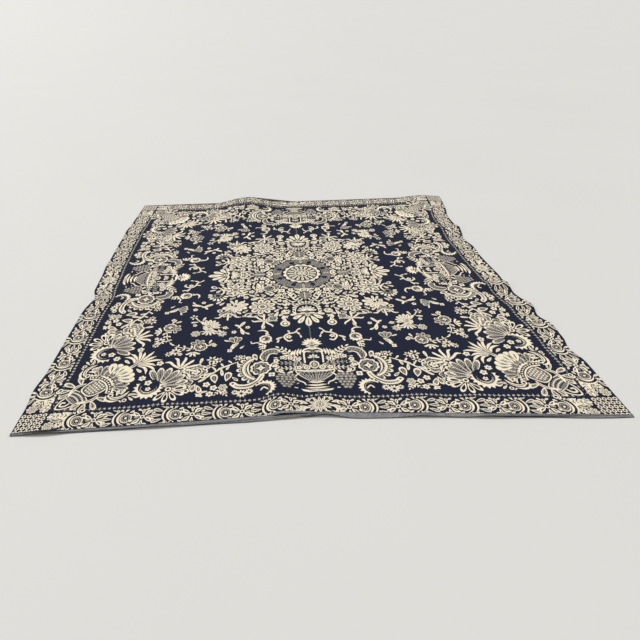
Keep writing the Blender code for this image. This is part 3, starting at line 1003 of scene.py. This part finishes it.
def fillers(shapes, where, least, seed):
    """Leaves and blossoms that fill the bare places of a region, the widest first.

    least: half the width of the narrowest place that is filled.
    """
    chance = np.random.default_rng(seed)
    ticks = np.arange(FILL_STEP / 2, QUARTER, FILL_STEP)
    cells = (ticks[None, :] + 1j * ticks[:, None]).ravel()
    taken = (tones_at(cells, shapes) != NAVY).reshape(len(ticks), len(ticks))
    room = np.full(taken.shape, FILL_REACH * FILL_STEP)
    for down in range(-FILL_REACH, FILL_REACH + 1):
        for across in range(-FILL_REACH, FILL_REACH + 1):
            moved = np.roll(taken, (down, across), (0, 1))
            room[moved] = np.minimum(room[moved], FILL_STEP * math.hypot(down, across))
    picked = ~taken.ravel() & where(cells)
    bare, room = cells[picked], room.ravel()[picked]
    room = np.minimum(room, np.minimum(bare.real, bare.imag) - 2)
    out = []
    while room.max() > least:
        i = int(room.argmax())
        at, gap = bare[i], room[i]
        if gap > 14 and chance.random() < 0.5:
            radius = min(gap - 3, 15)
            out += put(blossom(radius, int(chance.integers(4, 7))), at)
            room = np.minimum(room, np.abs(bare - at) - radius)
            continue
        near = np.abs(bare - at) < 34
        ways = np.exp(1j * np.arange(12) * math.pi / 12)
        crosswise = [np.abs(((bare[near] - at) * way.conjugate()).imag) for way in ways]
        depth = [np.sum(room[near] * (off < 6)) for off in crosswise]
        way = ways[int(np.argmax(depth))]
        width = min(gap * 1.5, 15)
        half = min(1.15 * width, 1.6 * gap)
        leaf = tear(2 * half, width, PALE) if chance.random() < 0.4 else slit_petal(2 * half, width)
        out += put(leaf, at - half * way, 1, math.degrees(cmath.phase(way)))
        along = np.clip(((bare - at) * way.conjugate()).real, -half, half)
        room = np.minimum(room, np.abs(bare - at - along * way) - width / 2)
    return out


def quadrant():
    """Every shape of the quarter, the lowest first."""
    shapes = both(border() + guard()) + corner()
    shapes += halo_ring() + rosette() + both(crown_bud() + shell() + side_fill()) + medallion()
    shapes += both(sprigs()) + great_sprig()
    shapes += both(rose_scroll() + branch() + pansy_group() + fan_group() + compote())
    shapes += both(end_spray())
    shapes += put(horn(), HORN_AT * (1 + 1j), 1, INWARD)
    shapes += put(flames(), FLAMES_AT * (1 + 1j), 1, INWARD)
    shapes += fillers(shapes, in_medallion, 8.5, 5)
    shapes += fillers(shapes, in_lobes, 11.5, 4)
    at_edge = fillers(shapes, in_field_edge, 17.0, 8)
    shapes += both([(o, tone) for o, tone in at_edge if o.mean().imag > o.mean().real])
    return shapes


def cut(points, edges):
    """Triangles over the points that keep the edges: points, then corners of each triangle."""
    flat = [Vector((z.real, z.imag)) for z in points]
    verts, _, faces, *_ = geometry.delaunay_2d_cdt(flat, edges, [], 0, CUT_TOLERANCE, False)
    return np.array([complex(v.x, v.y) for v in verts]), np.array(faces)


def in_quarter(points):
    """Which of the points lie inside the quarter."""
    return (points.real > 0) & (points.real < QUARTER) & (points.imag > 0) & (points.imag < QUARTER)


def tone_edges(corners, tones):
    """Edges between triangles of unlike tones, and those at the rim."""
    pairs = np.sort(np.concatenate([corners[:, [0, 1]], corners[:, [1, 2]], corners[:, [2, 0]]]), axis=1)
    owner = np.tile(np.arange(len(corners)), 3)
    order = np.lexsort((pairs[:, 1], pairs[:, 0]))
    pairs, owner = pairs[order], owner[order]
    same = np.all(pairs[1:] == pairs[:-1], axis=1)
    shared = np.flatnonzero(same)
    lone = np.ones(len(pairs), bool)
    lone[shared] = False
    lone[shared + 1] = False
    unlike = shared[tones[owner[shared]] != tones[owner[shared + 1]]]
    return np.concatenate([pairs[unlike], pairs[lone]])


def without_needless(points, edges, keep_rim):
    """The edges with points left out where two edges run on in one line."""
    links = {}
    for a, b in edges.tolist():
        links.setdefault(a, set()).add(b)
        links.setdefault(b, set()).add(a)
    for v in list(links):
        if len(links[v]) != 2 or (keep_rim and on_rim(points[v])):
            continue
        a, b = links[v]
        one, two = points[v] - points[a], points[b] - points[v]
        off = abs((one.conjugate() * two).imag) / max(abs(points[b] - points[a]), 1e-6)
        slack = RIM_SLACK if on_rim(points[v]) else LINE_SLACK
        if off < slack and (one.conjugate() * two).real > 0 and b not in links[a]:
            links[a].discard(v)
            links[b].discard(v)
            links[a].add(b)
            links[b].add(a)
            del links[v]
    return [(a, b) for a in links for b in links[a] if a < b]


def on_rim(z):
    """Whether a point lies on the quarter's rim."""
    return min(z.real, z.imag, QUARTER - z.real, QUARTER - z.imag) < RIM_SLACK


def round_rim(z):
    """How far round the quarter's rim a point of it lies."""
    if z.imag < RIM_SLACK:
        return z.real
    if z.real > QUARTER - RIM_SLACK:
        return QUARTER + z.imag
    if z.imag > QUARTER - RIM_SLACK:
        return 3 * QUARTER - z.real
    return 4 * QUARTER - z.imag


def quarter_net(shapes, rim=None):
    """The quarter as triangles: its points, the corners of each triangle, and their tones.

    rim: the points round the quarter, where they have to be another net's.
    """
    points, edges = [], []

    def add_loop(loop):
        base = len(points)
        points.extend(loop)
        edges.extend((base + i, base + (i + 1) % len(loop)) for i in range(len(loop)))

    add_loop(rim or [0, QUARTER, QUARTER + QUARTER * 1j, QUARTER * 1j])
    for outline, tone in shapes:
        add_loop(outline.tolist())
    net, corners = cut(points, edges)
    middles = net[corners].mean(axis=1)
    kept = in_quarter(middles)
    corners = corners[kept]
    tones = tones_at(middles[kept], shapes)
    edges = without_needless(net, tone_edges(corners, tones), bool(rim))
    used = sorted({i for edge in edges for i in edge})
    place = {old: new for new, old in enumerate(used)}
    points = net[used].tolist()
    edges = [(place[a], place[b]) for a, b in edges]
    tree = kdtree.KDTree(len(points))
    for i, z in enumerate(points):
        tree.insert((z.real, z.imag, 0), i)
    tree.balance()
    ticks = np.arange(0, QUARTER + 1, GRID_STEP)
    if rim:
        ticks = ticks[1:-1]
    for x in ticks:
        for y in ticks:
            if tree.find((x, y, 0))[2] > GRID_CLEAR:
                points.append(complex(x, y))
    for row in HEM_ROWS:
        base = len(points)
        points += [complex(0, row), complex(QUARTER, row)]
        edges.append((base, base + 1))
    net, corners = cut(points, edges)
    middles = net[corners].mean(axis=1)
    kept = in_quarter(middles)
    corners = corners[kept]
    return net, corners, tones_at(middles[kept], shapes)


def rim_of(net, corners):
    """The net's points round the quarter, in order."""
    used = net[np.unique(corners)].tolist()
    return sorted((z for z in used if on_rim(z)), key=round_rim)


def back_shapes(shapes):
    """The larger shapes, clear of the rim, which are all that the underside shows."""
    large = []
    for outline, tone in shapes:
        wide, tall = np.ptp(outline.real), np.ptp(outline.imag)
        clear = min(outline.real.min(), outline.imag.min()) > BACK_CLEAR
        clear = clear and max(outline.real.max(), outline.imag.max()) < QUARTER - BACK_CLEAR
        if min(wide, tall) > BACK_LEAST and clear:
            large.append((outline, tone))
    return large


def both_quarters(net, corners, tones, side):
    """The quarter and its mirror image as one half of the cloth: s, t, corners and tones."""
    count = len(net)
    on_middle = net.imag < RIM_SLACK
    far_index = np.where(on_middle, np.arange(count), count + np.cumsum(~on_middle) - 1)
    s_quarter = side * np.maximum(net.real, 0.5 * SEAM_GAP * MM) / MM
    t_quarter = np.where(on_middle, 0.0, net.imag) / MM
    s = np.concatenate([s_quarter, s_quarter[~on_middle]])
    t = np.concatenate([-t_quarter, t_quarter[~on_middle]])
    a, b, c = net[corners[:, 0]], net[corners[:, 1]], net[corners[:, 2]]
    anticlockwise = ((b - a).conjugate() * (c - a)).imag > 0
    corners = np.where(anticlockwise[:, None], corners, corners[:, ::-1])
    # in the near quarter y runs down the cloth, which turns the corners' sense about
    near = corners[:, ::-1] if side > 0 else corners
    far = far_index[corners] if side > 0 else far_index[corners[:, ::-1]]
    return s, t, np.concatenate([near, far]), np.concatenate([tones, tones])


def laid(s, t):
    """Where points of the flat cloth's underside lie, and the way up from each."""
    along_s = underside(s + SLOPE_STEP, t) - underside(s - SLOPE_STEP, t)
    along_t = underside(s, t + SLOPE_STEP) - underside(s, t - SLOPE_STEP)
    normal = np.cross(along_s, along_t)
    return underside(s, t), normal / np.linalg.norm(normal, axis=1)[:, None]


def make_panel(name, side, top_net, back_net, materials):
    """One loom width. side: -1 for the left of the seam, 1 for the right."""
    s, t, top, top_tones = both_quarters(*top_net, side)
    low, normal = laid(s, t)
    thick = np.interp(np.abs(t) * MM, THICK_ROWS, THICK_AT)
    high = low + normal * thick[:, None]
    s_back, t_back, back, back_tones = both_quarters(*back_net, side)
    low_back, normal_back = laid(s_back, t_back)
    total = len(s)
    tree = kdtree.KDTree(len(s_back))
    for i in np.unique(back).tolist():
        tree.insert((s_back[i], t_back[i], 0), i)
    tree.balance()
    pairs = np.concatenate([top[:, [0, 1]], top[:, [1, 2]], top[:, [2, 0]]])
    _, first, counts = np.unique(np.sort(pairs, axis=1), axis=0, return_index=True, return_counts=True)
    rim = pairs[first[counts == 1]]
    under = {int(i): total + tree.find((s[i], t[i], 0))[1] for i in np.unique(rim)}
    walls = [(b, a, under[a], under[b]) for a, b in rim.tolist()]
    faces = top.tolist() + (back[:, ::-1] + total).tolist() + walls
    mesh = bpy.data.meshes.new(name)
    mesh.from_pydata(np.concatenate([high, low_back]).tolist(), [], faces)
    turned = np.array([BACK_TONE[int(k)] for k in back_tones])
    slots = np.concatenate([top_tones, turned, np.full(len(walls), HEM)])
    mesh.polygons.foreach_set("material_index", slots)
    flat = mesh.uv_layers.new(name="flat")
    loops = np.empty(len(mesh.loops), int)
    mesh.loops.foreach_get("vertex_index", loops)
    place = np.stack([np.concatenate([s, s_back]), np.concatenate([t, t_back])], axis=-1)
    flat.data.foreach_set("uv", place[loops].ravel())
    mesh.shade_smooth()
    normals = np.concatenate([normal, -normal_back])[loops]
    mesh.normals_split_custom_set(normals.tolist())
    for material in materials:
        mesh.materials.append(material)
    panel = bpy.data.objects.new(name + "_cloth", mesh)
    bpy.context.scene.collection.objects.link(panel)
    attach(panel, "root")
    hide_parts(name)
    return panel


class Nodes:
    """A material's node tree with short calls for the nodes used here."""

    def __init__(self, name):
        self.material = bpy.data.materials.new(name)
        self.material.use_nodes = True
        self.tree = self.material.node_tree
        self.shader = self.tree.nodes["Principled BSDF"]

    def link(self, value, socket):
        if isinstance(value, bpy.types.NodeSocket):
            self.tree.links.new(value, socket)
        else:
            socket.default_value = value

    def math(self, operation, *values, clamp=False):
        node = self.tree.nodes.new("ShaderNodeMath")
        node.operation = operation
        node.use_clamp = clamp
        for value, socket in zip(values, node.inputs):
            self.link(value, socket)
        return node.outputs[0]

    def mix(self, share, a, b):
        node = self.tree.nodes.new("ShaderNodeMix")
        node.data_type = "RGBA"
        self.link(share, node.inputs["Factor"])
        self.link((*a, 1.0) if isinstance(a, tuple) else a, node.inputs["A"])
        self.link((*b, 1.0) if isinstance(b, tuple) else b, node.inputs["B"])
        return node.outputs["Result"]

    def flat_place(self):
        """The place on the flat cloth, in metres across and along."""
        node = self.tree.nodes.new("ShaderNodeUVMap")
        node.uv_map = "flat"
        split = self.tree.nodes.new("ShaderNodeSeparateXYZ")
        self.tree.links.new(node.outputs[0], split.inputs[0])
        return split.outputs[0], split.outputs[1]

    def noise(self, scale, detail=2.0):
        node = self.tree.nodes.new("ShaderNodeTexNoise")
        node.inputs["Scale"].default_value = scale
        node.inputs["Detail"].default_value = detail
        coordinates = self.tree.nodes.new("ShaderNodeTexCoord")
        self.tree.links.new(coordinates.outputs["Object"], node.inputs["Vector"])
        return node.outputs[0]

    def wave(self, place, pitch):
        """A sine along one direction, with the pitch in metres."""
        return self.math("SINE", self.math("MULTIPLY", place, 2 * math.pi / pitch))

    def bump(self, height, distance, strength=1.0):
        node = self.tree.nodes.new("ShaderNodeBump")
        node.inputs["Distance"].default_value = distance
        node.inputs["Strength"].default_value = strength
        self.tree.links.new(height, node.inputs["Height"])
        self.tree.links.new(node.outputs[0], self.shader.inputs["Normal"])

    def finish(self, colour, roughness):
        self.link(colour, self.shader.inputs["Base Color"])
        self.shader.inputs["Roughness"].default_value = roughness
        self.shader.inputs["Specular IOR Level"].default_value = SHEEN
        return self.material


# Colours, linear, and the pitch of the weave in metres
NAVY_YARN = (0.0050, 0.0080, 0.0230)
NAVY_LIGHT = (0.0120, 0.0170, 0.0400)
CREAM_YARN = (0.840, 0.770, 0.610)
CREAM_DARK = (0.520, 0.450, 0.330)
HEM_LIGHT = (0.66, 0.66, 0.64)
SEAM_DARK = (0.34, 0.33, 0.30)
SEAM_LIGHT = (0.62, 0.57, 0.47)
THREAD_PITCH = 0.0022
HALFTONE_PITCH = 0.0030
HEM_PITCH = 0.0021
# How much of each halftone is cream, and how much the gaps between the threads show in each yarn
DARK_SHARE = 0.37
PALE_SHARE = 0.82
NAVY_GAPS = 0.5
CREAM_GAPS = 0.3
# How steeply a halftone turns from navy to cream
HALFTONE_EDGE = 2.2
# Depths of the bumps in metres, and how matt the wool, the thread and the floor are
THREAD_DEPTH = 0.0006
HEM_DEPTH = 0.0008
FLOOR_DEPTH = 0.0004
WOOL_ROUGHNESS = 0.95
SEAM_ROUGHNESS = 0.9
FLOOR_ROUGHNESS = 0.7
SHEEN = 0.15
# Floor and light
FLOOR_DARK = (0.425, 0.425, 0.418)
FLOOR_LIGHT = (0.445, 0.445, 0.438)
SKY_COLOUR = (1.0, 0.995, 0.975, 1.0)
SKY_STRENGTH = 0.74
SUN_COLOUR = (1.0, 0.975, 0.94)
SUN_STRENGTH = 3.8
SUN_SPREAD = 16
SUN_WAY = (0.45, -0.55, -0.85)


def weave(nodes, s, t):
    """Height of the plain weave's threads, from -1 to 1."""
    over = nodes.math("MULTIPLY", nodes.wave(s, THREAD_PITCH), nodes.wave(t, THREAD_PITCH))
    fuzz = nodes.math("SUBTRACT", nodes.noise(900.0), 0.5)
    return nodes.math("MULTIPLY_ADD", fuzz, 0.8, over)


def wool_material(name, yarn, light, gap_share):
    """Plain woven cloth of one yarn. gap_share: how much the gaps between its threads show."""
    nodes = Nodes(name)
    s, t = nodes.flat_place()
    height = weave(nodes, s, t)
    gaps = nodes.math("MULTIPLY_ADD", height, -gap_share, gap_share * 0.6, clamp=True)
    worn = nodes.math("MULTIPLY", nodes.math("SUBTRACT", nodes.noise(7.0, 4.0), 0.4), 1.6, clamp=True)
    colour = nodes.mix(nodes.math("ADD", gaps, nodes.math("MULTIPLY", worn, 0.22), clamp=True), yarn,
                       light)
    nodes.bump(height, THREAD_DEPTH)
    return nodes.finish(colour, WOOL_ROUGHNESS)


def halftone_material(name, cream_share):
    """Cream picks over navy in broken rows, which read as a light or a dark blue grey."""
    nodes = Nodes(name)
    s, t = nodes.flat_place()
    rows = nodes.math("ADD", nodes.wave(t, HALFTONE_PITCH),
                      nodes.math("MULTIPLY", nodes.wave(s, 2 * HALFTONE_PITCH), 0.6))
    worn = nodes.math("MULTIPLY", nodes.math("SUBTRACT", nodes.noise(9.0, 3.0), 0.5), 0.5)
    share = nodes.math("MULTIPLY_ADD", nodes.math("ADD", rows, worn), HALFTONE_EDGE,
                       2.6 * cream_share - HALFTONE_EDGE, clamp=True)
    nodes.bump(rows, THREAD_DEPTH)
    return nodes.finish(nodes.mix(share, NAVY_LIGHT, CREAM_YARN), WOOL_ROUGHNESS)


def hem_material():
    """The rolled hem: navy and cream yarns lying side by side, aslant."""
    nodes = Nodes("hem_yarn")
    s, t = nodes.flat_place()
    slant = nodes.math("ADD", nodes.math("MULTIPLY", s, 0.5), t)
    cord = nodes.wave(slant, HEM_PITCH)
    share = nodes.math("MULTIPLY_ADD", nodes.math("ADD", cord, nodes.noise(60.0)), 0.42, 0.0, clamp=True)
    nodes.bump(cord, HEM_DEPTH)
    return nodes.finish(nodes.mix(share, NAVY_LIGHT, HEM_LIGHT), WOOL_ROUGHNESS)


def floor_material():
    """Pale matt paint."""
    nodes = Nodes("floor_paint")
    nodes.bump(nodes.noise(40.0), FLOOR_DEPTH, 0.3)
    return nodes.finish(nodes.mix(nodes.noise(0.8), FLOOR_DARK, FLOOR_LIGHT), FLOOR_ROUGHNESS)


def stage():
    """A pale floor that rises far off, so that no horizon shows, and soft light."""
    turn = np.exp(2j * np.pi * np.arange(FLOOR_SIDES) / FLOOR_SIDES)
    verts = [(z.real * r, z.imag * r, up) for r, up in FLOOR_RINGS for z in turn]
    faces = [tuple(range(FLOOR_SIDES))]
    for ring in range(len(FLOOR_RINGS) - 1):
        base = ring * FLOOR_SIDES
        for i in range(FLOOR_SIDES):
            k = (i + 1) % FLOOR_SIDES
            faces.append((base + i, base + FLOOR_SIDES + i, base + FLOOR_SIDES + k, base + k))
    mesh = bpy.data.meshes.new("floor")
    mesh.from_pydata(verts, [], faces)
    mesh.shade_smooth()
    floor = bpy.data.objects.new("floor", mesh)
    bpy.context.scene.collection.objects.link(floor)
    mesh.materials.append(floor_material())
    world = bpy.data.worlds.new("studio")
    world.use_nodes = True
    world.node_tree.nodes["Background"].inputs["Color"].default_value = SKY_COLOUR
    world.node_tree.nodes["Background"].inputs["Strength"].default_value = SKY_STRENGTH
    bpy.context.scene.world = world
    lamp = bpy.data.lights.new("key", "SUN")
    lamp.energy = SUN_STRENGTH
    lamp.angle = math.radians(SUN_SPREAD)
    lamp.color = SUN_COLOUR
    key = bpy.data.objects.new("key", lamp)
    key.rotation_euler = Vector(SUN_WAY).to_track_quat("-Z", "Y").to_euler()
    bpy.context.scene.collection.objects.link(key)
    bpy.context.scene.view_settings.view_transform = "Standard"


# Seam stitches, in metres
STITCH_PITCH = 0.007
STITCH_REACH = 0.0035
STITCH_RADIUS = 0.00045


def seam_stitches():
    """The light thread that whips the two loom widths together."""
    curve = bpy.data.curves.new("seam_thread", "CURVE")
    curve.dimensions = "3D"
    curve.bevel_depth = STITCH_RADIUS
    curve.bevel_resolution = 1
    curve.use_fill_caps = True
    count = int((LENGTH - 2 * HEM_WIDTH) / STITCH_PITCH)
    for i in range(count):
        t = -HALF_L + HEM_WIDTH + (i + 0.5) * STITCH_PITCH
        across = np.linspace(-1.0, 1.0, 5)
        wander = 0.0006 * math.sin(2.4 * i)
        place = underside(across * STITCH_REACH + wander, t + across * STITCH_PITCH * 0.36)
        height = CLOTH_THICK + STITCH_RADIUS * (1.6 - 2.2 * across ** 2)
        spline = curve.splines.new("POLY")
        spline.points.add(len(across) - 1)
        for point, (x, y, z), up in zip(spline.points, place, height):
            point.co = (x, y, z + up, 1.0)
    nodes = Nodes("seam_cotton")
    curve.materials.append(nodes.finish(nodes.mix(nodes.noise(300.0), SEAM_DARK, SEAM_LIGHT),
                                        SEAM_ROUGHNESS))
    thread = bpy.data.objects.new("seam_thread", curve)
    bpy.context.scene.collection.objects.link(thread)
    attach(thread, "root")
    return thread


# The camera, as the cloth's own perspective gives it
CAMERA_AT = (0.0754, -2.0996, 1.1732)
CAMERA_PITCH = 34.94
CAMERA_YAW = 0.23
CAMERA_ROLL = -1.76
LENS = 26.0
SENSOR = 36.0


def camera():
    """The camera at the photo's place and angle."""
    pitch, yaw, roll = (math.radians(a) for a in (CAMERA_PITCH, CAMERA_YAW, CAMERA_ROLL))
    forward = Vector((math.sin(yaw) * math.cos(pitch), math.cos(yaw) * math.cos(pitch), -math.sin(pitch)))
    level = Vector((math.cos(yaw), -math.sin(yaw), 0))
    upright = level.cross(forward)
    right = level * math.cos(roll) + upright * math.sin(roll)
    up = upright * math.cos(roll) - level * math.sin(roll)
    lens = bpy.data.cameras.new("camera")
    lens.lens = LENS
    lens.sensor_width = SENSOR
    lens.sensor_fit = "HORIZONTAL"
    eye = bpy.data.objects.new("camera", lens)
    turn = Matrix((right, up, -forward)).transposed()
    place = Vector(CAMERA_AT) - Vector((CENTRE[0], CENTRE[1], 0))
    eye.matrix_world = Matrix.Translation(place) @ turn.to_4x4()
    bpy.context.scene.collection.objects.link(eye)
    bpy.context.scene.camera = eye


def main():
    """The whole scene."""
    camera()
    stage()
    shapes = [(np.round(outline, POINT_ROUNDING), tone) for outline, tone in quadrant()]
    far = QUARTER + OVERLAP
    hem = np.array([HEM_FROM * 1j - OVERLAP, far + HEM_FROM * 1j, far + far * 1j, far * 1j - OVERLAP])
    shapes.append((hem, HEM))
    top_net = quarter_net(shapes)
    back_net = quarter_net(back_shapes(shapes), rim_of(*top_net[:2]))
    # in the order of the tones' numbers
    materials = [
        wool_material("navy_wool", NAVY_YARN, NAVY_LIGHT, NAVY_GAPS),
        wool_material("cream_cotton", CREAM_YARN, CREAM_DARK, CREAM_GAPS),
        halftone_material("dark_halftone", DARK_SHARE),
        hem_material(),
        halftone_material("pale_halftone", PALE_SHARE),
    ]
    make_panel("panel_left", -1, top_net, back_net, materials)
    make_panel("panel_right", 1, top_net, back_net, materials)
    seam_stitches()


main()
